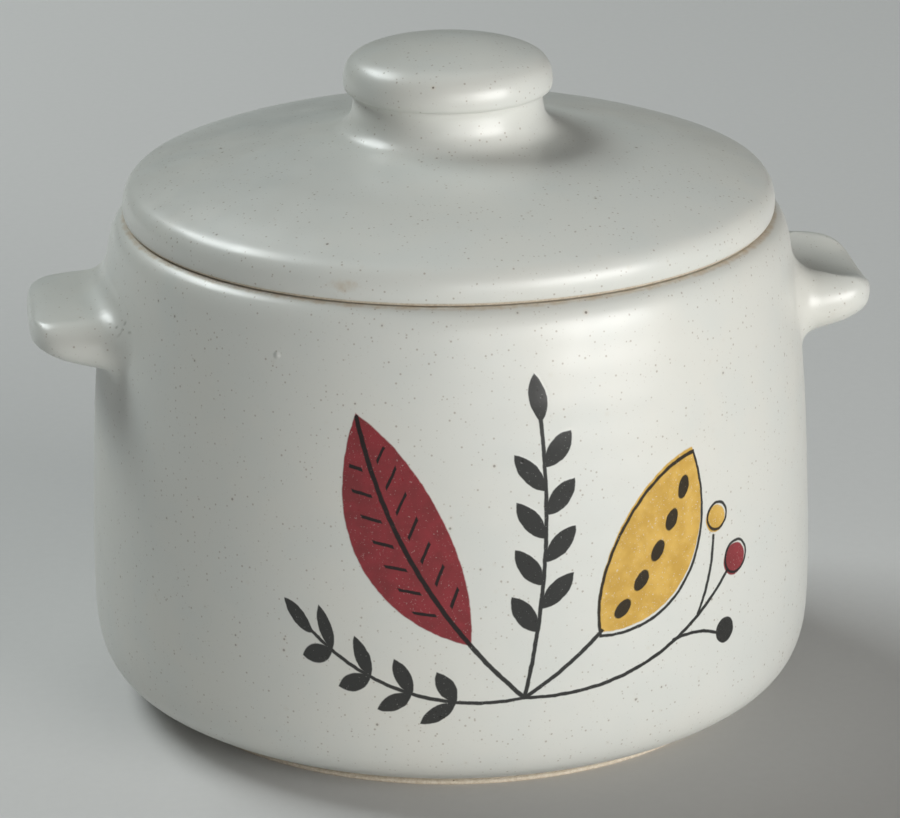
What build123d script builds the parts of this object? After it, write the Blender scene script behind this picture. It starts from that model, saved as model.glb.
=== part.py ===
from build123d import *
import math
import os

os.makedirs("parts", exist_ok=True)

# Stoneware bean pot with a loose lift-off lid.
# Millimetres, +Z up, origin at the centre of the foot ring on the table.
# The two lug handles lie on +X and -X, and the decorated front faces -Y.

# ---------------------------------------------------------------- dimensions
body_r = 95.25          # largest outside radius of the pot, 7.5 in across
foot_r = 77.1           # outside radius of the unglazed foot ring
foot_in_r = 70.6        # inside radius of the foot ring
foot_h = 2.4            # height of the foot ring below the rounded bottom
floor_z = 8.2           # top of the floor inside the pot

rim_z = 129.0           # flat seat on top of the rim, which carries the lid
rim_out_r = 83.4        # outer edge of the flat seat
mouth_r = 77.4          # radius of the mouth

lid_r = 84.4            # largest radius of the lid
flange_r = 76.2         # outside of the ring under the lid that drops in the mouth
flange_in_r = 71.0      # inside of that ring
flange_drop = 8.6       # how far the ring reaches below the seat

neck_r = 24.35          # waist under the knob
knob_z = 161.0          # underside of the knob, where it is luted on the neck
knob_r = 26.95          # largest radius of the knob
knob_top = 174.3        # top of the knob

handle_u = 110.7        # tip of each lug, measured from the pot's axis
scoop_r = 60.0          # radius of the thumb hollow along the top of a lug
scoop_depth = 2.0       # depth of that hollow
lug_slope = 0.090       # fall of a lug's top towards its tip

# Outside of the pot, radius and height, from the foot up to the shoulder.
outer_pts = [
    (79.6, 3.05), (83.5, 4.8), (87.2, 6.8), (90.2, 8.9), (92.3, 11.5),
    (93.8, 14.9), (94.7, 19.2), (95.15, 25.5), (body_r, 34.0), (95.0, 47.0),
    (94.5, 60.0), (94.0, 71.5), (93.2, 84.0), (91.95, 98.0), (90.55, 110.0),
    (89.4, 117.5), (88.7, 121.6), (88.05, 124.3), (87.2, 126.4),
    (86.1, 127.9), (84.9, 128.7),
]
# Inside of the pot, from the floor up to the rim.
inner_pts = [
    (60.0, floor_z), (70.0, 8.6), (78.5, 10.6), (84.6, 15.0), (88.2, 22.0),
    (89.5, 32.0), (89.35, 47.0), (88.8, 62.0), (87.9, 78.0), (86.5, 94.0),
    (84.7, 107.0), (82.6, 115.5), (80.2, 120.5), (78.2, 123.6),
]

# ---------------------------------------------------------------- pot body
# One thrown wall: rounded bottom, slight barrel taper, shoulder rolled in to
# a flat seat, a mouth, and a trimmed foot ring underneath.
with BuildPart() as pot_body:
    with BuildSketch(Plane.XZ):
        with BuildLine():
            Line((0, foot_h + 0.4), (66.0, foot_h))
            Line((66.0, foot_h), (69.6, 0.9))
            Line((69.6, 0.9), (foot_in_r, 0))
            Line((foot_in_r, 0), (foot_r - 0.5, 0))
            Line((foot_r - 0.5, 0), (foot_r, 0.5))
            Line((foot_r, 0.5), (foot_r + 0.3, 2.0))
            Line((foot_r + 0.3, 2.0), outer_pts[0])
            Spline(*outer_pts)
            ThreePointArc(outer_pts[-1], (84.2, 128.91), (rim_out_r, rim_z))
            Line((rim_out_r, rim_z), (mouth_r + 1.6, rim_z))
            ThreePointArc((mouth_r + 1.6, rim_z), (mouth_r + 0.45, 128.5), (mouth_r, 127.3))
            Line((mouth_r, 127.3), (mouth_r, 125.6))
            Line((mouth_r, 125.6), inner_pts[-1])
            Spline(*reversed(inner_pts))
            Line((60.0, floor_z), (0, floor_z))
            Line((0, floor_z), (0, foot_h + 0.4))
        make_face()
    revolve(axis=Axis.Z)

# Outline of the pot as a plain solid, which gives the lugs their curved root.
with BuildPart() as wall_form:
    with BuildSketch(Plane.XZ):
        with BuildLine():
            Line((0, 3.05), outer_pts[0])
            Spline(*outer_pts)
            Line(outer_pts[-1], (0, 128.7))
            Line((0, 128.7), (0, 3.05))
        make_face()
    revolve(axis=Axis.Z)

# ---------------------------------------------------------------- lug handles
# Each lug is a thick tab: flared and deeper where it meets the wall, thinner
# and rounded at the tip, its top hollowed lengthwise for the thumb.
# Sections: distance from the axis, top, bottom, half width.
lug_sections = [
    (84.0, 112.9, 86.4, 27.0),
    (90.5, 112.1, 91.8, 26.2),
    (96.0, 111.5, 95.8, 25.8),
    (102.0, 110.7, 98.4, 24.8),
    (106.5, 109.9, 100.2, 22.4),
    (handle_u, 108.8, 101.8, 15.6),
]
with BuildPart() as handle_right:
    for u, top, bottom, half in lug_sections:
        low = 0.84 * half
        with BuildSketch(Plane(origin=(u, 0, 0), x_dir=(0, 1, 0), z_dir=(1, 0, 0))):
            with BuildLine():
                Polyline((-half, top), (half, top), (low, bottom), (-low, bottom), close=True)
            make_face()
            fillet(vertices().group_by(Axis.Y)[0], radius=0.46 * (top - bottom))
            fillet(vertices().group_by(Axis.Y)[-1], radius=0.42 * (top - bottom))
    loft()
    # rounded tip
    fillet(faces().sort_by(Axis.X)[-1].edges(), radius=2.6)
    # thumb hollow, sloping gently down towards the tip
    with BuildSketch(Plane(origin=(84.0, 0, 112.6 + scoop_r - scoop_depth),
                           x_dir=(0, 1, 0), z_dir=(1, 0, -lug_slope))):
        Circle(scoop_r)
    extrude(amount=60.0, mode=Mode.SUBTRACT)
    # root cut to the wall it is luted to
    add(wall_form.part, mode=Mode.SUBTRACT)

with BuildPart() as handle_left:
    mirror(handle_right.part, about=Plane.YZ)

# ---------------------------------------------------------------- lid
# Shallow dome with a rounded edge, a coved neck for the knob, and a ring
# below that drops into the mouth. Hollow underneath.
dome_pts = [
    (82.2, 137.6), (80.5, 138.6), (78.0, 139.6), (74.0, 141.05), (68.0, 142.95),
    (60.0, 145.1), (50.0, 147.15), (42.0, 148.6), (36.0, 149.5), (31.6, 150.1),
    (29.4, 150.6), (27.6, 151.4), (26.2, 152.7), (25.3, 154.2), (24.75, 156.0),
    (24.45, 158.0), (neck_r, 159.7), (24.7, knob_z),
]
under_pts = [
    (flange_in_r, 130.0), (69.4, 133.0), (65.5, 135.6), (58.0, 138.2), (46.0, 141.2),
    (32.0, 143.6), (18.0, 144.8), (6.0, 145.2),
]
with BuildPart() as lid:
    with BuildSketch(Plane.XZ):
        with BuildLine():
            Line((0, knob_z), (24.7, knob_z))
            Spline(*reversed(dome_pts))
            Spline((82.2, 137.6), (83.35, 136.2), (84.05, 134.6), (lid_r, 132.6),
                   (84.1, 130.9), (83.1, 129.65), (82.0, 129.1))
            Line((82.0, 129.1), (82.0, rim_z))
            Line((82.0, rim_z), (flange_r + 1.0, rim_z))
            Line((flange_r + 1.0, rim_z), (flange_r, rim_z - 1.2))
            Line((flange_r, rim_z - 1.2), (flange_r - 0.4, rim_z - flange_drop + 1.8))
            ThreePointArc((flange_r - 0.4, rim_z - flange_drop + 1.8),
                          ((flange_r + flange_in_r) / 2, rim_z - flange_drop),
                          (flange_in_r + 0.3, rim_z - flange_drop + 1.8))
            Line((flange_in_r + 0.3, rim_z - flange_drop + 1.8), under_pts[0])
            Spline(*under_pts)
            Line(under_pts[-1], (0, 145.2))
            Line((0, 145.2), (0, knob_z))
        make_face()
    revolve(axis=Axis.Z)

# ---------------------------------------------------------------- knob
# Thick button with a domed top, luted on the neck along the crease.
knob_pts = [
    (24.7, knob_z), (25.8, 161.1), (26.6, 161.65), (knob_r, 162.8), (26.95, 164.4),
    (26.65, 166.1), (26.0, 167.7), (25.0, 169.0), (23.6, 170.0), (21.8, 170.8),
    (19.5, 171.5), (15.0, 172.6), (10.0, 173.5), (5.0, 174.1), (0.0, knob_top),
]
with BuildPart() as lid_knob:
    with BuildSketch(Plane.XZ):
        with BuildLine():
            Line((0, knob_z), (24.7, knob_z))
            Spline(*knob_pts, tangents=[(1, 0.12), (-1, 0)])
            Line((0, knob_top), (0, knob_z))
        make_face()
    revolve(axis=Axis.Z)

# ---------------------------------------------------------------- export
pot_body.part.label = "pot_body"
handle_left.part.label = "handle_left"
handle_right.part.label = "handle_right"
lid.part.label = "lid"
lid_knob.part.label = "lid_knob"

export_step(pot_body.part, "parts/pot_body.step")
export_step(handle_left.part, "parts/handle_left.step")
export_step(handle_right.part, "parts/handle_right.step")
export_step(lid.part, "parts/lid.step")
export_step(lid_knob.part, "parts/lid_knob.step")

for name, piece in (("pot_body", pot_body), ("handle_left", handle_left),
                    ("handle_right", handle_right), ("lid", lid), ("lid_knob", lid_knob)):
    bb = piece.part.bounding_box()
    print(name, "solids", len(piece.part.solids()), "volume cm3",
          round(piece.part.volume / 1000.0, 2),
          "x", round(bb.min.X, 2), round(bb.max.X, 2),
          "y", round(bb.min.Y, 2), round(bb.max.Y, 2),
          "z", round(bb.min.Z, 2), round(bb.max.Z, 2))
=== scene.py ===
import math

import bpy
import numpy as np
from mathutils import Matrix, Vector


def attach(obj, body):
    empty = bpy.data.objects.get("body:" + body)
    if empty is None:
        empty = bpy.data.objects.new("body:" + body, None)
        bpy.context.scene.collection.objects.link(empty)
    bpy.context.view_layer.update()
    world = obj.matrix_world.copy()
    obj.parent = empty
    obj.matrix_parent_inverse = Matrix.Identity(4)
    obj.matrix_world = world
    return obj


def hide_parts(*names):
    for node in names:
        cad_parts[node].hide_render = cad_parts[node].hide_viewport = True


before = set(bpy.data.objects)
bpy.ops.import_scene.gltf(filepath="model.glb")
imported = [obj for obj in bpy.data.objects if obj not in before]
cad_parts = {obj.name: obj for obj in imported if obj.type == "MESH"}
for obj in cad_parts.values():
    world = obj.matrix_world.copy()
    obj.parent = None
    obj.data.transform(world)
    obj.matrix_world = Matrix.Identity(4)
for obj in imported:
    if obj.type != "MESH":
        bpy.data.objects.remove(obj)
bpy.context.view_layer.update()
MM = 0.001

# Stoneware bean pot with a loose lid. Lengths below are millimetres in the
# part's own frame: origin at the centre of the foot ring, +Z up, lugs on +X
# and -X, decorated front towards -Y. Angles run from -Y towards +X.


# ------------------------------------------------------------------ curves
def spline(pts, n):
    """n points along a natural cubic spline through pts, even in chord length."""
    p = np.array(pts, float)
    t = np.concatenate([[0.0], np.cumsum(np.hypot(*np.diff(p, axis=0).T))])
    m = len(t)
    a, b = np.zeros((m, m)), np.zeros((m, 2))
    a[0, 0] = a[-1, -1] = 1.0
    for i in range(1, m - 1):
        h0, h1 = t[i] - t[i - 1], t[i + 1] - t[i]
        a[i, i - 1:i + 2] = h0, 2 * (h0 + h1), h1
        b[i] = 6 * ((p[i + 1] - p[i]) / h1 - (p[i] - p[i - 1]) / h0)
    s = np.linalg.solve(a, b)
    u = np.linspace(0, t[-1], n)
    k = np.clip(np.searchsorted(t, u, side="right") - 1, 0, m - 2)
    h = (t[k + 1] - t[k])[:, None]
    f, g = (t[k + 1] - u)[:, None] / h, (u - t[k])[:, None] / h
    return (f * p[k] + g * p[k + 1]
            + ((f ** 3 - f) * s[k] + (g ** 3 - g) * s[k + 1]) * h * h / 6)


def line(a, b, n):
    t = np.linspace(0, 1, n)[:, None]
    return np.array(a, float) * (1 - t) + np.array(b, float) * t


def arc(a, m, b, n):
    """n points on the circle through a, m and b, from a to b."""
    (ax, ay), (mx, my), (bx, by) = a, m, b
    d = 2 * (ax * (my - by) + mx * (by - ay) + bx * (ay - my))
    a2, m2, b2 = ax * ax + ay * ay, mx * mx + my * my, bx * bx + by * by
    cx = (a2 * (my - by) + m2 * (by - ay) + b2 * (ay - my)) / d
    cy = (a2 * (bx - mx) + m2 * (ax - bx) + b2 * (mx - ax)) / d
    r = math.hypot(ax - cx, ay - cy)
    t0, tm, t1 = (math.atan2(y - cy, x - cx) for x, y in (a, m, b))
    while tm - t0 > math.pi:
        tm -= 2 * math.pi
    while tm - t0 < -math.pi:
        tm += 2 * math.pi
    while t1 - tm > math.pi:
        t1 -= 2 * math.pi
    while t1 - tm < -math.pi:
        t1 += 2 * math.pi
    t = np.linspace(t0, t1, n)
    return np.stack([cx + r * np.cos(t), cy + r * np.sin(t)], 1)


def chain(*parts):
    """Joins point runs, leaving out repeated points."""
    out = [parts[0][0]]
    for p in parts:
        for q in p:
            if np.hypot(*(q - out[-1])) > 1e-4:
                out.append(q)
    return np.array(out)


def smooth(x, lo, hi):
    t = np.clip((x - lo) / (hi - lo), 0, 1)
    return t * t * (3 - 2 * t)


# ---------------------------------------------------------------- profiles
# Pot: from the centre of the underside, over the foot ring, up the outside,
# over the seat, down the inside to the middle of the floor.
OUTER = [
    (79.6, 3.05), (83.5, 4.8), (87.2, 6.8), (90.2, 8.9), (92.3, 11.5),
    (93.8, 14.9), (94.7, 19.2), (95.15, 25.5), (95.25, 34.0), (95.0, 47.0),
    (94.5, 60.0), (94.0, 71.5), (93.2, 84.0), (91.95, 98.0), (90.55, 110.0),
    (89.4, 117.5), (88.7, 121.6), (88.05, 124.3), (87.2, 126.4),
    (86.1, 127.9), (84.9, 128.7),
]
INNER = [
    (60.0, 8.2), (70.0, 8.6), (78.5, 10.6), (84.6, 15.0), (88.2, 22.0),
    (89.5, 32.0), (89.35, 47.0), (88.8, 62.0), (87.9, 78.0), (86.5, 94.0),
    (84.7, 107.0), (82.6, 115.5), (80.2, 120.5), (78.2, 123.6),
]
outer_line = spline(OUTER, 176)
WALL_Z, WALL_R = outer_line[:, 1], outer_line[:, 0]

pot_under = chain(line((0, 2.8), (66.0, 2.42), 14),
                  spline([(66.0, 2.42), (67.6, 2.15), (69.3, 1.1), (69.95, 0.45)], 8),
                  arc((69.95, 0.45), (70.3, 0.1), (70.9, 0.0), 5),
                  line((70.9, 0.0), (76.3, 0.0), 7),
                  arc((76.3, 0.0), (76.9, 0.15), (77.2, 0.6), 6),
                  spline([(77.2, 0.6), (77.25, 0.95), (76.95, 1.22), (76.1, 1.42), (75.6, 1.75),
                          (75.8, 2.2), (77.2, 2.65), (79.6, 3.05)], 18))
pot_under = np.maximum(pot_under, 0.0)
pot_rim = chain(arc((84.9, 128.7), (84.2, 128.91), (83.4, 129.0), 6),
                line((83.4, 129.0), (79.1, 129.0), 7),
                arc((79.1, 129.0), (77.9, 128.52), (77.4, 127.3), 9),
                line((77.4, 127.3), (77.4, 125.6), 4),
                spline([(77.4, 125.6), (77.6, 124.6), (78.2, 123.6)], 4))
pot_inside = chain(spline(INNER[::-1], 120), line((60.0, 8.2), (0, 8.2), 14))
pot_line = chain(pot_under, outer_line, pot_rim, pot_inside)
pot_parts = [len(chain(pot_under)), len(chain(pot_under, outer_line)),
             len(chain(pot_under, outer_line, pot_rim))]

# Lid: from the middle of the underside, down the locating ring, across the
# seat, round the edge, over the dome and up the cove to the knob's crease.
DOME = [
    (82.2, 137.6), (80.5, 138.6), (78.0, 139.6), (74.0, 141.05), (68.0, 142.95),
    (60.0, 145.1), (50.0, 147.15), (42.0, 148.6), (36.0, 149.5), (31.6, 150.1),
    (29.4, 150.6), (27.6, 151.4), (26.2, 152.7), (25.3, 154.2), (24.75, 156.0),
    (24.45, 158.0), (24.35, 159.7), (24.7, 161.0),
]
EDGE = [(82.6, 129.04), (83.5, 129.35), (84.12, 130.2), (84.38, 131.5), (84.36, 132.9),
        (84.05, 134.6), (83.35, 136.2), (82.2, 137.6)]
UNDER = [(0.0, 145.2), (6.0, 145.2), (18.0, 144.8), (32.0, 143.6), (46.0, 141.2),
         (58.0, 138.2), (65.5, 135.6), (69.4, 133.0), (71.0, 130.0)]
dome_all = spline(EDGE + DOME[1:], 210)
lid_line = chain(spline(UNDER, 44),
                 line((71.0, 130.0), (71.3, 122.2), 9),
                 arc((71.3, 122.2), (73.6, 120.4), (75.8, 122.2), 12),
                 line((75.8, 122.2), (76.2, 127.6), 7),
                 spline([(76.2, 127.6), (76.45, 128.5), (77.4, 129.0)], 5),
                 line((77.4, 129.0), (82.0, 129.0), 5),
                 dome_all)
lid_top_from = len(lid_line) - len(chain(dome_all)) + 1

# Knob: from the crease over the top. Its underside is closed.
KNOB = [
    (24.7, 161.0), (25.8, 161.1), (26.6, 161.65), (26.95, 162.8), (26.95, 164.4),
    (26.65, 166.1), (26.0, 167.7), (25.0, 169.0), (23.6, 170.0), (21.8, 170.8),
    (19.5, 171.5), (15.0, 172.6), (10.0, 173.5), (5.0, 174.1), (0.0, 174.3),
]
knob_line = chain(line((0, 161.0), (24.2, 160.8), 8), line((24.2, 160.8), (24.7, 161.0), 3),
                  spline(KNOB, 96))
knob_line[-1] = (0.0, 174.3)


# --------------------------------------------------------------- hand finish
def wave(theta, z):
    """Slight unevenness of a thrown wall, never proud of the plain shape."""
    slow = (0.10 * np.sin(2 * theta + 0.6) + 0.06 * np.sin(3 * theta + 2.1 + z / 55.0)
            + 0.05 * np.sin(5 * theta - z / 31.0))
    rings = 0.018 * np.sin(2 * math.pi * z / 9.3 + theta) * smooth(z, 6, 20)
    return (slow + rings - 0.26) * smooth(z, 3.0, 9.0)


def lid_wave(theta, r):
    slow = 0.05 * np.sin(2 * theta + 1.0) + 0.05 * np.sin(3 * theta - 0.4)
    rings = 0.018 * np.sin(2 * math.pi * r / 13.0 + theta)
    return (slow + rings) * smooth(r, 30, 40) * (1 - smooth(r, 78, 83)) - 0.0


# ------------------------------------------------------------------- meshes
def to_object(name, verts, faces, uvs, material):
    me = bpy.data.meshes.new(name)
    me.from_pydata([tuple(v) for v in verts * MM], [], faces)
    me.validate()
    uv = me.uv_layers.new(name="OFBake")
    loops = np.empty(len(me.loops), np.int32)
    me.loops.foreach_get("vertex_index", loops)
    flat = np.concatenate([np.array(u, float).reshape(-1, 2) for u in uvs])
    uv.data.foreach_set("uv", flat.astype(np.float32).ravel())
    me.polygons.foreach_set("use_smooth", [True] * len(me.polygons))
    me.materials.append(material)
    ob = bpy.data.objects.new(name, me)
    bpy.context.scene.collection.objects.link(ob)
    return ob


def revolve(name, profile, spans, material, n=320, shift=None):
    """Turns a profile about Z. spans says how each run of it is laid out for
    baking: (last row, "strip" or "disc", centre or corner, scale)."""
    m = len(profile)
    th = -math.pi + 2 * math.pi * np.arange(n) / n
    length = np.concatenate([[0], np.cumsum(np.hypot(*np.diff(profile, axis=0).T))])
    verts, rows = [], []
    for i, (r, z) in enumerate(profile):
        if r < 1e-6:
            rows.append([len(verts)])
            verts.append((0, 0, z))
            continue
        rows.append(list(range(len(verts), len(verts) + n)))
        rr, zz = np.full(n, r), np.full(n, z)
        if shift is not None:
            rr, zz = shift(i, th, r, z)
        verts.extend(zip(rr * np.sin(th), -rr * np.cos(th), zz))
    faces, uvs = [], []
    ends = [0] + [s[0] for s in spans]

    def place(span, i, t):
        _, kind, (cx, cy), scale, (w0, w1) = spans[span]
        if kind == "strip":
            return (cx + (t + math.pi) / (2 * math.pi) * w0,
                    cy + (length[i] - length[ends[span]]) * scale * w1)
        rho = abs(length[i] - length[w0]) * scale
        return (cx + rho * math.sin(t) * w1, cy - rho * math.cos(t))

    for i in range(m - 1):
        a, b = rows[i], rows[i + 1]
        span = next(k for k in range(len(spans)) if i < spans[k][0])
        for j in range(n):
            t0, t1 = th[j], th[j] + 2 * math.pi / n
            k = (j + 1) % n
            if len(a) == 1:
                faces.append((a[0], b[k], b[j]))
                uvs.append([place(span, i, (t0 + t1) / 2), place(span, i + 1, t1),
                            place(span, i + 1, t0)])
            elif len(b) == 1:
                faces.append((a[j], a[k], b[0]))
                uvs.append([place(span, i, t0), place(span, i, t1),
                            place(span, i + 1, (t0 + t1) / 2)])
            else:
                faces.append((a[j], a[k], b[k], b[j]))
                uvs.append([place(span, i, t0), place(span, i, t1),
                            place(span, i + 1, t1), place(span, i + 1, t0)])
    return to_object(name, np.array(verts, float), faces, uvs, material)


def wall_radius(z):
    return np.interp(z, WALL_Z, WALL_R)


def wall_gap(x, y, z):
    """How far outside the pot's wall a point is."""
    th = np.arctan2(x, -y)
    return np.hypot(x, y) - wall_radius(z) - wave(th, z)


def lug_gap(u, v, z, g):
    """How far outside one lug a point is, before it is blended to the wall."""
    c, s = math.cos(math.radians(g["yaw"])), math.sin(math.radians(g["yaw"]))
    v = v - g["shift"]
    u, v = 90.0 + (u - 90.0) * c + v * s, v * c - (u - 90.0) * s
    z = z - g["lift"] - g["tilt"] * v

    def level(u, v, z):
        top = g["top"] + g["slope"] * (u - 100.0) - g["droop"] * (np.clip(6.0 - v, 0, 32.0) / 26.0) ** 2
        low = np.interp(u, g["low_u"], g["low_z"])
        a = np.clip((u - g["from"]) / (g["tip"] - g["from"]), 0, 1)
        over = g["end"] + (top - g["end"]) * (1 - a ** g["end_t"]) ** (1 / g["end_t"])
        under = g["end"] - (g["end"] - low) * (1 - a ** g["end_b"]) ** (1 / g["end_b"])
        mid, half = (over + under) / 2, (over - under) / 2
        hollow_w = g["hollow_w"] - g["hollow_in"] * (1 - smooth(u, 92.0, 101.0))
        hollow = g["hollow"] * np.clip(1 - (v / hollow_w) ** 2, 0, None)
        zz = z + hollow * smooth(z, mid - 0.2 * half, mid + 0.6 * half + 0.01)
        share = 0.5 - 0.5 * np.clip((zz - mid) / np.maximum(half, 0.5), -1, 1)
        wide = (g["half"] * (1 - a ** g["end_v"]) ** (1 / g["end_v"])
                * (1 - (1 - g["taper"]) * share) * (1 + g["flare"] * (u - 100.0)))
        # the sides are rounded more fully above than below
        r_top = 2 * half * g["share"]
        r_low = 2 * half - r_top
        waist = mid - half + r_low

        def side(r, qz):
            qv = np.abs(v) - (wide - r)
            return np.hypot(np.maximum(qv, 0), np.maximum(qz, 0)) + np.minimum(np.maximum(qv, qz), 0) - r
        return (np.where(zz > waist, side(r_top, zz - waist), side(r_low, waist - zz))
                + 3 * np.maximum(u - g["tip"], 0))
    e = 0.05
    f = level(u, v, z)
    du = (level(u + e, v, z) - level(u - e, v, z)) / (2 * e)
    dv = (level(u, v + e, z) - level(u, v - e, z)) / (2 * e)
    dz = (level(u, v, z + e) - level(u, v, z - e)) / (2 * e)
    return f / np.maximum(np.sqrt(du * du + dv * dv + dz * dz), 0.02)


def blended(u, v, z, g):
    """Wall and lug as one surface, with a small root above and a full one below."""
    a = wall_gap(g["side"] * u, v, z)
    b = lug_gap(u, v, z, g)
    k = g["root_top"] + (g["root_low"] - g["root_top"]) * smooth(-z, -g["root_z1"], -g["root_z0"])
    h = np.clip(1 - np.abs(a - b) / k, 0, None)
    return np.minimum(a, b) - h * h * k / 4, a, b, k


def lug(name, g, material, n=176, m=72):
    """One lug as rings from the middle of its tip out to where it runs into the wall."""
    half_z = 7.0
    dense = np.linspace(0, 2 * math.pi, 4001)
    p = 3.4
    rr = (np.abs(np.cos(dense) / g["half"]) ** p + np.abs(np.sin(dense) / half_z) ** p) ** (-1 / p)
    px, py = rr * np.cos(dense), rr * np.sin(dense)
    run = np.concatenate([[0], np.cumsum(np.hypot(np.diff(px), np.diff(py)))])
    phi = np.interp(np.arange(n) / n * run[-1], run, dense)
    u0, z0 = 78.0, g["mid"]
    al = np.linspace(0, math.radians(83), 420)
    ca, sa = np.cos(al)[None, :], np.sin(al)[None, :]
    cv, cz = np.cos(phi)[:, None], np.sin(phi)[:, None]

    def at(d):
        return u0 + d * ca, d * sa * cv, z0 + d * sa * cz

    # first crossing along each ray, by steps and then halving
    lo = np.full((n, len(al)), 2.0)
    hi = np.full_like(lo, np.nan)
    d = lo.copy()
    live = np.ones_like(lo, bool)
    for step in range(160):
        d2 = d + 0.75
        f = blended(*at(d2), g)[0]
        hit = live & (f > 0)
        hi[hit] = d2[hit]
        lo[hit] = d[hit]
        live &= ~hit
        d = d2
        if not live.any():
            break
    hi[np.isnan(hi)] = lo[np.isnan(hi)] + 0.75
    for _ in range(36):
        mid = (lo + hi) / 2
        inside = blended(*at(mid), g)[0] < 0
        lo = np.where(inside, mid, lo)
        hi = np.where(inside, hi, mid)
    d = (lo + hi) / 2
    P = np.stack(at(d), -1)
    _, a, b, k = blended(P[..., 0], P[..., 1], P[..., 2], g)
    rings = np.zeros((n, m, 3))
    for i in range(n):
        past = np.nonzero((b[i] > k[i] - 0.35) & (np.abs(a[i]) < 0.4))[0]
        cut = past[0] if len(past) else len(al) - 1
        q = P[i, :cut + 1]
        t = np.concatenate([[0], np.cumsum(np.linalg.norm(np.diff(q, axis=0), axis=1))])
        want = np.linspace(0, 1, m + 1)[1:] * t[-1]
        for c in range(3):
            rings[i, :, c] = np.interp(want, t, q[:, c])
    # settle the points on the surface, then tuck the last ring under the wall's skin
    e = 0.02

    def normal(q):
        f = [(blended(q[..., 0] + e * (c == 0), q[..., 1] + e * (c == 1), q[..., 2] + e * (c == 2), g)[0]
              - blended(q[..., 0] - e * (c == 0), q[..., 1] - e * (c == 1), q[..., 2] - e * (c == 2), g)[0]) / (2 * e)
             for c in range(3)]
        v = np.stack(f, -1)
        return v / np.maximum(np.linalg.norm(v, axis=-1, keepdims=True), 1e-9), np.linalg.norm(v, axis=-1)

    for _ in range(2):
        nv, size = normal(rings)
        f = blended(rings[..., 0], rings[..., 1], rings[..., 2], g)[0]
        rings = rings - nv * (f / np.maximum(size, 0.3))[..., None]
    nv, _ = normal(rings)
    rings[:, -2] += nv[:, -2] * 0.012
    out = rings[:, -1] - rings[:, -2]
    rings[:, -1] += out * 0.4 - nv[:, -1] * 0.22
    tip = np.array([[u0 + d[:, 0].mean(), 0.0, z0]])
    nt = np.array([[1.0, 0.0, 0.0]])
    verts = np.concatenate([tip, rings.transpose(1, 0, 2).reshape(-1, 3)])
    norms = np.concatenate([nt, nv.transpose(1, 0, 2).reshape(-1, 3)])
    # along each spoke, for the bake layout
    spoke = np.concatenate([np.zeros((n, 1)), np.cumsum(np.linalg.norm(
        np.diff(np.concatenate([np.repeat(tip[None], n, 0), rings], 1), axis=1), axis=2), 1)], 1)
    verts[:, 0] *= g["side"]
    norms[:, 0] *= g["side"]
    scale = 0.48 / spoke.max()

    def uv(i, j):
        return (0.5 + spoke[i % n, j] * scale * math.cos(phi[i % n]),
                0.5 + spoke[i % n, j] * scale * math.sin(phi[i % n]))

    faces, uvs = [], []
    flip = g["side"] < 0
    for i in range(n):
        k = (i + 1) % n
        f, w = [0, 1 + i, 1 + k], [(0.5, 0.5), uv(i, 1), uv(k, 1)]
        faces.append(tuple(f[::-1] if flip else f))
        uvs.append(w[::-1] if flip else w)
        for j in range(m - 1):
            a0, a1 = 1 + j * n + i, 1 + j * n + k
            b0, b1 = 1 + (j + 1) * n + i, 1 + (j + 1) * n + k
            f = [a0, b0, b1, a1]
            w = [uv(i, j + 1), uv(i, j + 2), uv(k, j + 2), uv(k, j + 1)]
            faces.append(tuple(f[::-1] if flip else f))
            uvs.append(w[::-1] if flip else w)
    ob = to_object(name, verts, faces, uvs, material)
    ob.data.normals_split_custom_set_from_vertices([tuple(x) for x in norms])
    return ob


LUG = dict(side=1, top=111.4, slope=-0.06, low_u=[84.0, 92.0, 102.0, 110.8],
           low_z=[94.9, 95.7, 98.25, 101.4], end=103.9, end_t=5.05, end_b=5.8, end_v=4.35,
           mid=104.2, half=26.0, taper=0.934, share=0.60, flare=-0.004, droop=0.0, hollow=3.3,
           hollow_w=20.5, hollow_in=4.0, tip=110.4, root_top=6.2, root_low=4.4,
           root_z0=97.0, root_z1=106.0)
LUG["from"] = 89.9
# luted on by hand, so neither sits quite square
LUG_RIGHT = dict(LUG, yaw=-2.3, shift=0.8, tilt=-0.01, lift=0.0)
LUG_LEFT = dict(LUG, side=-1, tip=109.7, yaw=1.25, shift=0.6, tilt=-0.048, lift=0.6,
                hollow=0.5, droop=3.4, share=0.66)


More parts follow.
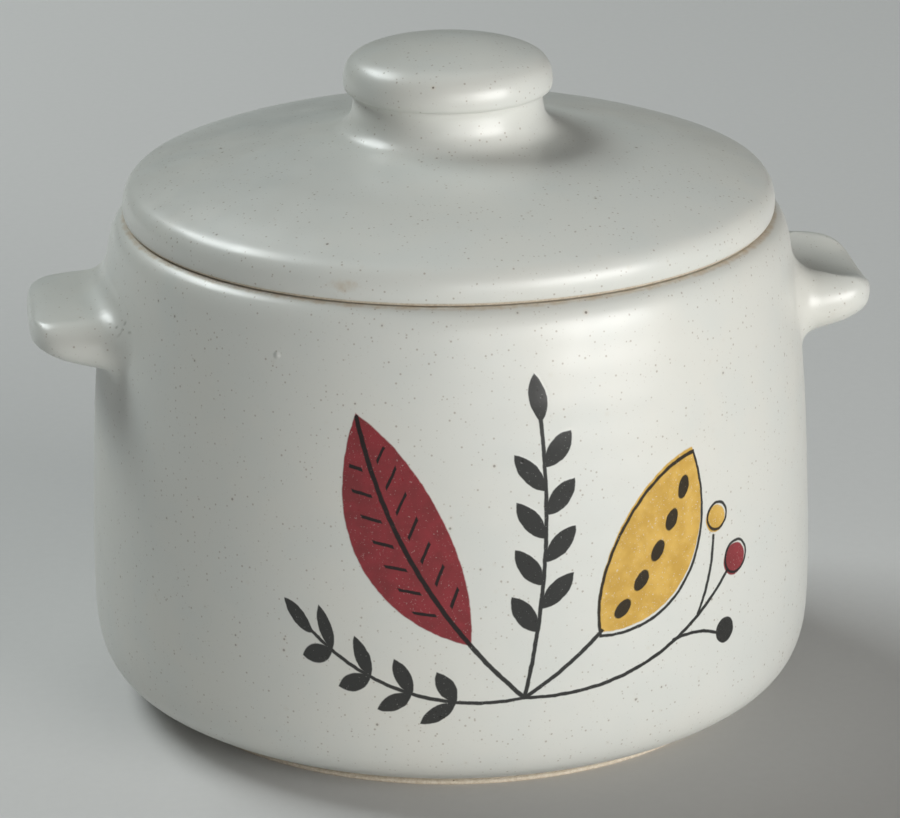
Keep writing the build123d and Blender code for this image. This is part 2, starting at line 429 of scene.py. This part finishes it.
# ---------------------------------------------------------------- materials
class Net:
    """A material's node tree, built with short calls. Positions are in mm."""

    def __init__(self, name):
        self.mat = bpy.data.materials.new(name)
        self.mat.use_nodes = True
        self.t = self.mat.node_tree
        self.t.nodes.clear()
        self.out = self.t.nodes.new("ShaderNodeOutputMaterial")
        self.bsdf = self.t.nodes.new("ShaderNodeBsdfPrincipled")
        self.t.links.new(self.bsdf.outputs[0], self.out.inputs["Surface"])
        tc = self.t.nodes.new("ShaderNodeTexCoord")
        self.p = self.vm("SCALE", tc.outputs["Object"], scale=1000.0)
        sep = self.t.nodes.new("ShaderNodeSeparateXYZ")
        self.t.links.new(self.p, sep.inputs[0])
        self.x, self.y, self.z = sep.outputs

    def put(self, socket, value):
        if isinstance(value, bpy.types.NodeSocket):
            self.t.links.new(value, socket)
        else:
            socket.default_value = value

    def m(self, op, a, b=None, c=None, clamp=False):
        n = self.t.nodes.new("ShaderNodeMath")
        n.operation, n.use_clamp = op, clamp
        for s, v in zip(n.inputs, (a, b, c)):
            if v is not None:
                self.put(s, v)
        return n.outputs[0]

    def vm(self, op, a, b=None, scale=None):
        n = self.t.nodes.new("ShaderNodeVectorMath")
        n.operation = op
        self.put(n.inputs[0], a)
        if b is not None:
            self.put(n.inputs[1], b)
        if scale is not None:
            self.put(n.inputs["Scale"], scale)
        return n.outputs["Value"] if op in ("LENGTH", "DISTANCE", "DOT_PRODUCT") else n.outputs["Vector"]

    def xyz(self, x=0.0, y=0.0, z=0.0):
        n = self.t.nodes.new("ShaderNodeCombineXYZ")
        for s, v in zip(n.inputs, (x, y, z)):
            self.put(s, v)
        return n.outputs[0]

    def ease(self, v, lo, hi, a=0.0, b=1.0, kind="SMOOTHSTEP"):
        n = self.t.nodes.new("ShaderNodeMapRange")
        n.interpolation_type = kind
        self.put(n.inputs["Value"], v)
        for key, val in (("From Min", lo), ("From Max", hi), ("To Min", a), ("To Max", b)):
            self.put(n.inputs[key], val)
        return n.outputs[0]

    def mix(self, f, a, b, kind="MIX"):
        n = self.t.nodes.new("ShaderNodeMix")
        n.data_type, n.blend_type = "RGBA", kind
        self.put(n.inputs["Factor"], f)
        ins = [s for s in n.inputs if s.type == "RGBA"]
        for s, v in zip(ins, (a, b)):
            self.put(s, (*v, 1.0) if isinstance(v, tuple) and len(v) == 3 else v)
        return next(s for s in n.outputs if s.type == "RGBA")

    def noise(self, size, detail=2.0, rough=0.5, vec=None, shift=0.0, color=False):
        """Noise with features about size mm across."""
        n = self.t.nodes.new("ShaderNodeTexNoise")
        n.inputs["Scale"].default_value = 1.0 / size
        n.inputs["Detail"].default_value = detail
        n.inputs["Roughness"].default_value = rough
        v = self.p if vec is None else vec
        if shift:
            v = self.vm("ADD", v, (shift, shift * 1.7, -shift))
        self.put(n.inputs["Vector"], v)
        return n.outputs["Color" if color else "Fac"]

    def cells(self, size, vec=None, shift=0.0):
        """Distance to the nearest scattered point, in mm, and that point's own colour."""
        n = self.t.nodes.new("ShaderNodeTexVoronoi")
        n.inputs["Scale"].default_value = 1.0 / size
        n.inputs["Randomness"].default_value = 1.0
        v = self.p if vec is None else vec
        if shift:
            v = self.vm("ADD", v, (shift, -shift * 1.3, shift * 0.7))
        self.put(n.inputs["Vector"], v)
        return self.m("MULTIPLY", n.outputs["Distance"], size), n.outputs["Color"]

    def channels(self, color):
        n = self.t.nodes.new("ShaderNodeSeparateColor")
        self.put(n.inputs[0], color)
        return n.outputs

    def bump(self, height, distance, strength=1.0, normal=None):
        n = self.t.nodes.new("ShaderNodeBump")
        n.inputs["Strength"].default_value = strength
        n.inputs["Distance"].default_value = distance * MM
        self.put(n.inputs["Height"], height)
        if normal is not None:
            self.put(n.inputs["Normal"], normal)
        return n.outputs[0]

    def most(self, *masks):
        out = masks[0]
        for k in masks[1:]:
            out = self.m("MAXIMUM", out, k)
        return out

    def any(self, a, b):
        return self.m("MAXIMUM", a, b)

    def both(self, a, b):
        return self.m("MULTIPLY", a, b)

    def but(self, a, b):
        """a where b isn't."""
        return self.m("MULTIPLY", a, self.m("SUBTRACT", 1.0, b))


def specks(net, size, least, small, large, shift, soft=0.12):
    """Scattered round specks: only points whose own value passes least get one."""
    d, col = net.cells(size, shift=shift)
    r, g, _ = net.channels(col)
    radius = net.ease(g, 0.0, 1.0, small, large, "LINEAR")
    inside = net.ease(net.m("SUBTRACT", d, radius), -soft, soft, 1.0, 0.0)
    return net.both(inside, net.m("GREATER_THAN", r, least))


GLAZE = (0.632, 0.640, 0.605)
GLAZE_WARM = (0.645, 0.640, 0.592)
GLAZE_COOL = (0.600, 0.620, 0.592)
IRON = (0.085, 0.060, 0.040)
CLAY = (0.500, 0.420, 0.320)
CLAY_PALE = (0.640, 0.575, 0.475)
MAROON = (0.180, 0.004, 0.010)
MUSTARD = (0.520, 0.300, 0.030)
BLACK = (0.002, 0.002, 0.002)


def glaze(name, bare=None, thin=None, art=None, marks=()):
    """Satin speckled glaze over stoneware. bare and thin give masks for the
    unglazed clay and for edges where the glaze runs thin (on the lid also the
    crease under the knob: pooled glaze and painted shade); art adds printed
    decoration; marks are single blemishes: (place, radius, darkness, rise)."""
    n = Net(name)
    broad = n.noise(60.0, 2.0, 0.5, shift=11.0)
    cloud = n.noise(17.0, 2.0, 0.5, shift=37.0)
    col = n.mix(n.ease(broad, 0.3, 0.7), GLAZE_WARM, GLAZE)
    col = n.mix(n.ease(cloud, 0.40, 0.75, 0.0, 0.5), col, GLAZE_COOL)

    # iron specks cut by the surface: pale dust, many small brown ones, few large
    dust = specks(n, 0.90, 0.55, 0.05, 0.18, 3.0, 0.07)
    mid = specks(n, 1.35, 0.56, 0.11, 0.28, 17.0, 0.12)
    big = specks(n, 3.6, 0.88, 0.20, 0.38, 29.0, 0.10)
    halo = specks(n, 3.6, 0.88, 0.42, 0.70, 29.0, 0.4)
    col = n.mix(n.both(dust, 0.20), col, (0.34, 0.28, 0.21))
    col = n.mix(n.both(mid, 0.52), col, (0.22, 0.155, 0.100))
    col = n.mix(n.both(halo, 0.12), col, (0.45, 0.35, 0.23))
    col = n.mix(n.both(big, 0.56), col, IRON)

    rough = n.ease(n.noise(9.0, 2.0, 0.5, shift=71.0), 0.3, 0.75, 0.30, 0.40, "LINEAR")
    # surface: slow dimpling, fine orange peel, pits at the specks
    swell = n.noise(11.0, 1.0, 0.5, shift=53.0)
    peel = n.noise(1.6, 1.0, 0.5, shift=23.0)
    height = n.m("ADD", n.m("MULTIPLY", swell, 0.030), n.m("MULTIPLY", peel, 0.0035))
    height = n.m("SUBTRACT", height, n.m("MULTIPLY", big, 0.04))
    height = n.m("SUBTRACT", height, n.m("MULTIPLY", mid, 0.008))

    if thin is not None:
        edge = thin(n)
        ragged = n.ease(n.m("ADD", edge, n.m("MULTIPLY", n.m("SUBTRACT", n.noise(3.0, 3.0, 0.6, shift=9.0), 0.5), 0.9)),
                        0.35, 1.0, 0.0, 1.0)
        col = n.mix(n.both(ragged, 0.72), col, (0.46, 0.345, 0.215))
    for place, radius, dark, rise in marks:
        d = n.vm("DISTANCE", n.p, place)
        if dark:
            ring = n.ease(d, radius, 2.2 * radius, 0.35 * dark, 0.0)
            col = n.mix(ring, col, (0.62, 0.56, 0.46))
            col = n.mix(n.ease(d, 0.4 * radius, radius, dark, 0.0), col, IRON)
        if rise:
            height = n.m("ADD", height, n.ease(d, 0.0, radius, rise, 0.0))
    if art is not None:
        col, rough, height = art(n, col, rough, height)
    if bare is not None:
        clay = bare(n)
        grain = n.noise(0.9, 4.0, 0.7, shift=61.0)
        body = n.mix(n.ease(grain, 0.3, 0.7), CLAY, CLAY_PALE)
        body = n.mix(n.both(specks(n, 3.0, 0.55, 0.08, 0.26, 41.0), 0.75), body, (0.12, 0.075, 0.045))
        col = n.mix(clay, col, body)
        rough = n.m("ADD", n.but(rough, clay), n.m("MULTIPLY", clay, 0.88))
        height = n.m("ADD", height, n.m("MULTIPLY", clay, n.m("SUBTRACT", n.m("MULTIPLY", grain, 0.10), 0.10)))
    n.put(n.bsdf.inputs["Base Color"], col)
    n.put(n.bsdf.inputs["Roughness"], rough)
    n.put(n.bsdf.inputs["Normal"], n.bump(height, 1.0))
    n.bsdf.inputs["IOR"].default_value = 1.52
    n.bsdf.inputs["Coat Weight"].default_value = 0.10
    n.bsdf.inputs["Coat Roughness"].default_value = 0.22
    n.bsdf.inputs["Coat IOR"].default_value = 1.5
    return n.mat


def radius_of(n):
    return n.m("SQRT", n.m("ADD", n.m("MULTIPLY", n.x, n.x), n.m("MULTIPLY", n.y, n.y)))


def uneven(n, v, size, amount, shift):
    return n.m("ADD", v, n.m("MULTIPLY", n.m("SUBTRACT", n.noise(size, 2.0, 0.5, shift=shift), 0.5), amount))


def pot_bare(n):
    """The foot ring and the seat are wiped clean of glaze."""
    r = radius_of(n)
    zz = uneven(n, n.z, 8.0, 0.7, 2.0)
    foot = n.both(n.ease(zz, 1.5, 1.75, 1.0, 0.0), n.ease(r, 67.6, 68.2))
    seat = n.both(n.both(n.ease(n.z, 128.55, 128.72), n.ease(uneven(n, r, 7.0, 1.0, 6.0), 82.5, 82.9, 1.0, 0.0)),
                  n.ease(uneven(n, r, 7.0, 0.8, 8.0), 78.0, 78.3))
    return n.any(foot, seat)


def pot_thin(n):
    r = radius_of(n)
    rim = n.both(n.ease(n.z, 127.9, 128.9), n.ease(r, 80.0, 84.0))
    foot = n.both(n.ease(n.z, 1.6, 3.4, 1.0, 0.0), n.ease(r, 60.0, 70.0))
    return n.any(n.m("MULTIPLY", rim, 0.7), n.m("MULTIPLY", foot, 0.5))


def lid_bare(n):
    """The seat under the edge and the locating ring are bare clay."""
    r = radius_of(n)
    low = n.ease(uneven(n, n.z, 8.0, 0.5, 4.0), 129.45, 129.65, 1.0, 0.0)
    ring = n.both(n.ease(n.z, 129.9, 130.2, 1.0, 0.0), n.ease(r, 70.0, 70.4))
    return n.m("MULTIPLY", n.any(low, ring), n.ease(r, 69.5, 70.0))


def lid_thin_glaze_and_crease_shade(n):
    r = radius_of(n)
    edge = n.both(n.ease(n.z, 129.2, 130.2, 1.0, 0.0), n.ease(r, 80.0, 82.0))
    # the top of the neck under the knob's lip gets the same brown: glaze pooled in the crease, and painted shade under
    # the lip
    crease = n.both(n.ease(n.z, 159.4, 161.2), n.ease(r, 23.0, 24.0))
    # one place low on the rounded edge where the glaze ran thin
    d = n.vm("LENGTH", n.vm("MULTIPLY", n.vm("SUBTRACT", n.p, (-38.0, -75.0, 133.6)), (1.0, 1.0, 2.6)))
    patch = n.ease(d, 1.0, 9.5, 0.62, 0.0)
    return n.most(n.m("MULTIPLY", edge, 0.8), n.m("MULTIPLY", crease, 0.3), patch)


# ------------------------------------------------------ printed decoration
class Art:
    """Flat shapes on the wall, in (distance round the wall, height) mm."""

    def __init__(self, n):
        self.n = n
        ang = n.m("ARCTAN2", n.x, n.m("MULTIPLY", n.y, -1.0))
        # a slight tremble of the drawn edges
        jit = n.channels(n.noise(2.6, 2.0, 0.5, shift=83.0, color=True))
        self.s = n.m("ADD", n.m("MULTIPLY", ang, 95.0), n.m("MULTIPLY", n.m("SUBTRACT", jit[0], 0.5), 0.5))
        self.t = n.m("ADD", n.z, n.m("MULTIPLY", n.m("SUBTRACT", jit[1], 0.5), 0.5))

    def frame(self, cx, cy, deg, bend=0.0):
        """Local axes (along, across) at a place, turned by deg and bent to an arc."""
        n = self.n
        c, d = math.cos(math.radians(deg)), math.sin(math.radians(deg))
        a = n.m("MULTIPLY_ADD", self.s, c, n.m("MULTIPLY_ADD", self.t, d, -cx * c - cy * d))
        b = n.m("MULTIPLY_ADD", self.s, -d, n.m("MULTIPLY_ADD", self.t, c, cx * d - cy * c))
        if bend:
            b = n.m("SUBTRACT", b, n.m("MULTIPLY", n.m("MULTIPLY", a, a), bend))
        return a, b

    def grown(self, x, y, deg, length, sag=0.0):
        """A frame along an arc that starts at a place; sag is how far its middle bows left."""
        c, d = math.cos(math.radians(deg)), math.sin(math.radians(deg))
        h = length / 2
        return self.frame(x + h * c - sag * d, y + h * d + sag * c, deg, -sag / (h * h))

    def along(self, f, to):
        """The same frame with its origin moved along the arc."""
        return self.n.m("SUBTRACT", f[0], to), f[1]

    def leaf(self, f, half_len, half_wid):
        """Signed distance to a pointed leaf."""
        n = self.n
        rho = (half_len ** 2 + half_wid ** 2) / (2 * half_wid)
        b = n.m("ADD", n.m("ABSOLUTE", f[1]), rho - half_wid)
        return n.m("SUBTRACT", n.m("SQRT", n.m("ADD", n.m("MULTIPLY", f[0], f[0]), n.m("MULTIPLY", b, b))), rho)

    def oval(self, f, ra, rb):
        n = self.n
        a, b = n.m("DIVIDE", f[0], ra), n.m("DIVIDE", f[1], rb)
        d = n.m("SQRT", n.m("ADD", n.m("MULTIPLY", a, a), n.m("MULTIPLY", b, b)))
        return n.m("MULTIPLY", n.m("SUBTRACT", d, 1.0), min(ra, rb))

    def stroke(self, f, half_len, half_wid):
        """A round-ended line along the frame."""
        n = self.n
        a = n.m("MAXIMUM", n.m("SUBTRACT", n.m("ABSOLUTE", f[0]), half_len), 0.0)
        d = n.m("SQRT", n.m("ADD", n.m("MULTIPLY", a, a), n.m("MULTIPLY", f[1], f[1])))
        return n.m("SUBTRACT", d, half_wid)

    def outline(self, d, half_wid, out=0.0):
        n = self.n
        return n.m("SUBTRACT", n.m("ABSOLUTE", n.m("SUBTRACT", d, out)), half_wid)

    def every(self, v, step, shift=0.0):
        """v folded to the nearest multiple of step, and which one it was."""
        n = self.n
        k = n.m("FLOOR", n.m("MULTIPLY_ADD", v, 1.0 / step, 0.5 + shift / step))
        return n.m("SUBTRACT", v, n.m("MULTIPLY_ADD", k, step, -shift)), k

    def span(self, k, middle, reach):
        """Inside where an index lies within reach of middle."""
        n = self.n
        return n.m("MULTIPLY", n.m("SUBTRACT", n.m("ABSOLUTE", n.m("SUBTRACT", k, middle)), reach + 0.25), 20.0)

    def turned(self, a, b, deg, out):
        """Axes turned by deg and moved out along the new first one."""
        n = self.n
        c, s = math.cos(math.radians(deg)), math.sin(math.radians(deg))
        return (n.m("MULTIPLY_ADD", a, c, n.m("MULTIPLY_ADD", b, s, -out)),
                n.m("MULTIPLY_ADD", a, -s, n.m("MULTIPLY", b, c)))

    def near(self, *ds):
        out = ds[0]
        for d in ds[1:]:
            out = self.n.m("MINIMUM", out, d)
        return out

    def cut(self, d, e):
        """Keeps d only where e is inside."""
        return self.n.m("MAXIMUM", d, e)

    def ink(self, d, soft=0.22):
        return self.n.ease(d, -soft, soft, 1.0, 0.0)


def sprays(n, col, rough, height):
    """Front decoration: leaves, a sprig, berries and a twig grown from one place."""
    A = Art(n)
    X, Y = 3.0, 31.0
    # tall maroon leaf leaning left, with a midrib and short broken veins
    f = A.grown(X, Y, 120.0, 84.0, 6.0)
    fl = A.along(f, 9.5)
    big = A.leaf(fl, 32.5, 12.0)
    va, vk = A.every(n.m("MULTIPLY_ADD", n.m("ABSOLUTE", fl[1]), -0.80, fl[0]), 6.8, 2.6)
    side = n.m("ABSOLUTE", fl[1])
    vein = n.m("SUBTRACT", n.m("ABSOLUTE", va), 0.52)
    vein = A.cut(vein, n.m("SUBTRACT", n.m("ABSOLUTE", n.m("SUBTRACT", side, 4.3)), 2.2))
    vein = A.cut(vein, n.m("ADD", big, 1.6))
    vein = A.cut(vein, A.span(vk, -0.5, 3.6))
    rib = A.stroke(f, 41.0, 0.62)
    # round mustard leaf leaning right, its outline printed slightly off it
    g = A.grown(X, Y, 50.0, 76.0, -6.5)
    gl = A.along(g, 11.5)
    wide = A.leaf(gl, 25.5, 12.6)
    h = (n.m("ADD", gl[0], 0.7), n.m("ADD", gl[1], 0.8))
    ring = A.outline(A.leaf(h, 25.5, 12.6), 0.42)
    pa, pk = A.every(h[0], 8.4)
    seed = A.cut(A.oval((pa, h[1]), 2.9, 1.75), A.span(pk, 0, 2))
    stem_g = A.cut(A.stroke(g, 38.0, 0.55), n.m("SUBTRACT", g[0], -13.0))
    # black sprig between them: a thin stem with alternate small leaves
    k = A.grown(X, Y, 86.0, 72.0, -3.0)
    stem = A.stroke(k, 36.0, 0.55)
    la, lk = A.every(n.m("MULTIPLY_ADD", n.m("SIGN", k[1]), 3.0, k[0]), 12.0)
    lb = n.m("ABSOLUTE", k[1])
    small = A.cut(A.leaf(A.turned(n.m("ADD", la, 3.8), lb, 40.0, 6.0), 6.0, 2.5), A.span(lk, 0.5, 1.6))
    top = A.leaf(A.along(k, 40.5), 6.0, 2.4)
    # low stalks: berries on the right, a leafy twig on the left
    q = A.grown(X, Y, 20.0, 64.0, -7.0)
    stalks = A.near(A.stroke(q, 32.0, 0.5),
                    A.stroke(A.grown(52.2, 44.4, 73.0, 20.0, -1.2), 10.0, 0.45),
                    A.stroke(A.grown(44.0, 39.5, -8.0, 15.0, 1.2), 7.5, 0.45))
    spots = ((66.0, 55.2, 4.2), (59.0, 67.8, 3.5), (62.0, 37.2, 3.4))
    red, gold, dark = (A.oval(A.frame(x, y, 0.0), r, r) for x, y, r in spots)
    loops = A.near(*(A.outline(A.oval(A.frame(x + 0.6, y + 0.6, 0.0), r, r), 0.36)
                     for x, y, r in spots[:2]))
    w = A.grown(X, Y, 163.0, 56.0, 6.5)
    twig = A.stroke(w, 28.0, 0.5)
    wa, wk = A.every(w[0], 11.0, -2.0)
    buds = A.cut(A.leaf(A.turned(n.m("ADD", wa, 3.0), n.m("ABSOLUTE", w[1]), 46.0, 5.0), 5.0, 2.1), A.span(wk, 0.5, 1.6))
    last = A.leaf(A.along(w, 32.0), 5.0, 2.1)

    maroon = A.near(big, red)
    mustard = A.near(wide, gold)
    black = A.near(vein, rib, ring, seed, stem_g, stem, small, top, stalks, dark, loops, twig, buds, last)
    front = n.m("LESS_THAN", n.y, -20.0)
    grain = n.noise(0.55, 2.0, 0.6, shift=7.0)
    worn = n.ease(grain, 0.60, 0.74, 1.0, 0.45)
    blotch = n.noise(5.0, 2.0, 0.6, shift=19.0)
    mm = n.both(n.both(A.ink(maroon), front), n.ease(grain, 0.62, 0.76, 1.0, 0.72))
    mu = n.both(n.both(A.ink(mustard), front), worn)
    mb = n.both(n.both(A.ink(black, 0.16), front), n.ease(grain, 0.64, 0.78, 1.0, 0.75))
    red_c = n.mix(n.ease(blotch, 0.3, 0.7), MAROON, (0.235, 0.007, 0.016))
    gold_c = n.mix(n.ease(blotch, 0.3, 0.7), MUSTARD, (0.64, 0.39, 0.065))
    col = n.mix(n.both(mu, 0.95), col, gold_c)
    col = n.mix(n.both(mm, 0.97), col, red_c)
    col = n.mix(n.both(mb, 0.96), col, BLACK)
    print_mask = n.most(mm, mu, mb)
    height = n.m("ADD", height, n.m("MULTIPLY", print_mask, 0.035))
    rough = n.m("ADD", n.but(rough, print_mask), n.m("MULTIPLY", print_mask, 0.17))
    return col, rough, height


pot_mat = glaze("speckled_glaze_pot", pot_bare, pot_thin, sprays, [
    ((-53.7, -71.4, 115.6), 1.25, 0.0, 0.30), ((-17.6, -93.3, 26.6), 0.42, 0.85, 0.0),
    ((-16.8, -93.4, 26.5), 0.36, 0.8, 0.0), ((20.0, -84.5, 126.4), 0.50, 0.8, 0.0)])
lug_mat = glaze("speckled_glaze_lug")
lid_mat = glaze("speckled_glaze_lid", lid_bare, lid_thin_glaze_and_crease_shade)
knob_mat = glaze("speckled_glaze_knob", marks=[((-7.6, -24.6, 167.9), 0.40, 0.95, 0.0)])


# ------------------------------------------------------------------- pieces
def pot_shift(i, th, r, z):
    if pot_parts[0] <= i < pot_parts[1] + 2:
        return r + wave(th, z), np.full_like(th, z)
    return np.full_like(th, r), np.full_like(th, z)


def lid_shift(i, th, r, z):
    if i >= lid_top_from:
        return np.full_like(th, r), z + lid_wave(th, r)
    return np.full_like(th, r), np.full_like(th, z)


pot = revolve("pot_body_glazed", pot_line, [
    (pot_parts[0] - 10, "disc", (0.16, 0.84), 1 / 600.0, (0, 1)),
    (pot_parts[2] - 4, "strip", (0.0, 0.02), 1 / 600.0, (1.0, 1)),
    (len(pot_line) - 40, "strip", (0.0, 0.36), 1 / 600.0, (0.92, 1)),
    (len(pot_line), "disc", (0.52, 0.84), 1 / 600.0, (len(pot_line) - 1, 1)),
], pot_mat, n=320, shift=pot_shift)
lid_len = np.concatenate([[0], np.cumsum(np.hypot(*np.diff(lid_line, axis=0).T))])
lid = revolve("lid_glazed", lid_line, [
    (lid_top_from, "disc", (0.29, 0.29), 0.285 / lid_len[lid_top_from], (0, -1)),
    (len(lid_line), "disc", (0.69, 0.69), 0.300 / (lid_len[-1] - lid_len[lid_top_from] + 24.7), (len(lid_line) - 1, 1)),
], lid_mat, n=320, shift=lid_shift)
knob = revolve("knob_glazed", knob_line, [
    (10, "disc", (0.14, 0.14), 0.12 / 25.0, (0, -1)),
    (len(knob_line), "disc", (0.60, 0.60), 0.38 / 46.0, (len(knob_line) - 1, 1)),
], knob_mat, n=192)
right = lug("handle_right_glazed", LUG_RIGHT, lug_mat)
left = lug("handle_left_glazed", LUG_LEFT, lug_mat)

for ob, body, node, slot in ((pot, "pot", "pot_body", "body_glaze"),
                             (right, "pot", "handle_right", "body_glaze"),
                             (left, "pot", "handle_left", "body_glaze"),
                             (lid, "lid", "lid", "lid_glaze"),
                             (knob, "lid", "lid_knob", "lid_glaze")):
    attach(ob, body)
    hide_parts(node)


# -------------------------------------------------------------------- stage
def floor_material():
    n = Net("floor_pale")
    g = n.noise(3.0, 3.0, 0.6)
    n.put(n.bsdf.inputs["Base Color"], n.mix(g, (0.61, 0.605, 0.595), (0.64, 0.635, 0.625)))
    n.bsdf.inputs["Roughness"].default_value = 0.75
    n.bsdf.inputs["Specular IOR Level"].default_value = 0.25
    return n.mat


me = bpy.data.meshes.new("floor")
S = 9.0
me.from_pydata([(-S, -S, 0), (S, -S, 0), (S, S, 0), (-S, S, 0)], [], [(0, 1, 2, 3)])
me.materials.append(floor_material())
floor = bpy.data.objects.new("floor", me)
bpy.context.scene.collection.objects.link(floor)

PSI = math.radians(9.0)          # the pot stands turned this far from the camera


FAR = 2.4


def soft_light(name, azimuth, elevation, distance, wide, tall, power, color=(1, 1, 1), aim=0.09):
    """A soft box round the pot. Azimuth 0 is the camera's side, positive to its right.
    Sizes and power are as for the distance given; all are taken FAR times further
    out and as much larger, so that the floor between is lit evenly."""
    a, e = math.radians(azimuth) - PSI, math.radians(elevation)
    back = Vector((math.sin(a) * math.cos(e), -math.cos(a) * math.cos(e), math.sin(e)))
    data = bpy.data.lights.new(name, "AREA")
    data.shape, data.size, data.size_y = "RECTANGLE", wide * FAR, tall * FAR
    data.energy, data.color = power * FAR * FAR, color
    ob = bpy.data.objects.new(name, data)
    ob.location = Vector((0, 0, aim)) + back * distance * FAR
    ob.rotation_mode = "QUATERNION"
    ob.rotation_quaternion = back.to_track_quat("Z", "Y")
    bpy.context.scene.collection.objects.link(ob)
    return ob


soft_light("key_right", 48, 6, 1.10, 0.75, 0.60, 14.3, (1.0, 0.99, 0.97))
soft_light("key_front", 13, 8, 1.10, 0.40, 0.40, 1.8, (0.98, 1.0, 0.99))
soft_light("left_back", -122, 46, 1.10, 0.64, 0.36, 8.5, (0.94, 1.0, 1.0), aim=0.12)
soft_light("back_high", 172, 66, 1.10, 0.50, 0.50, 0.5, (0.95, 1.0, 0.99), aim=0.12)

world = bpy.data.worlds.new("studio")
world.use_nodes = True
world.node_tree.nodes["Background"].inputs["Color"].default_value = (0.90, 0.97, 1.0, 1)
world.node_tree.nodes["Background"].inputs["Strength"].default_value = 0.01
bpy.context.scene.world = world

# ------------------------------------------------------------------- camera
AIM_Z, DIST, TILT, ROLL = 73.48, 1100.0, math.radians(19.5), -0.0069
fw = Vector((math.sin(PSI) * math.cos(TILT), math.cos(PSI) * math.cos(TILT), -math.sin(TILT)))
rt = Vector((math.cos(PSI), -math.sin(PSI), 0.0))
up = rt.cross(fw)
rt2 = rt * math.cos(ROLL) + up * math.sin(ROLL)
up2 = up * math.cos(ROLL) - rt * math.sin(ROLL)
cam_data = bpy.data.cameras.new("camera")
cam_data.lens, cam_data.sensor_width, cam_data.sensor_fit = 166.72, 36.0, "AUTO"
cam_data.clip_start, cam_data.clip_end = 0.05, 50.0
cam = bpy.data.objects.new("camera", cam_data)
place = Vector((0, 0, AIM_Z)) * MM - fw * DIST * MM
cam.matrix_world = Matrix((
    (rt2.x, up2.x, -fw.x, place.x),
    (rt2.y, up2.y, -fw.y, place.y),
    (rt2.z, up2.z, -fw.z, place.z),
    (0, 0, 0, 1)))
bpy.context.scene.collection.objects.link(cam)
bpy.context.scene.camera = cam
bpy.context.scene.view_settings.view_transform = "Standard"
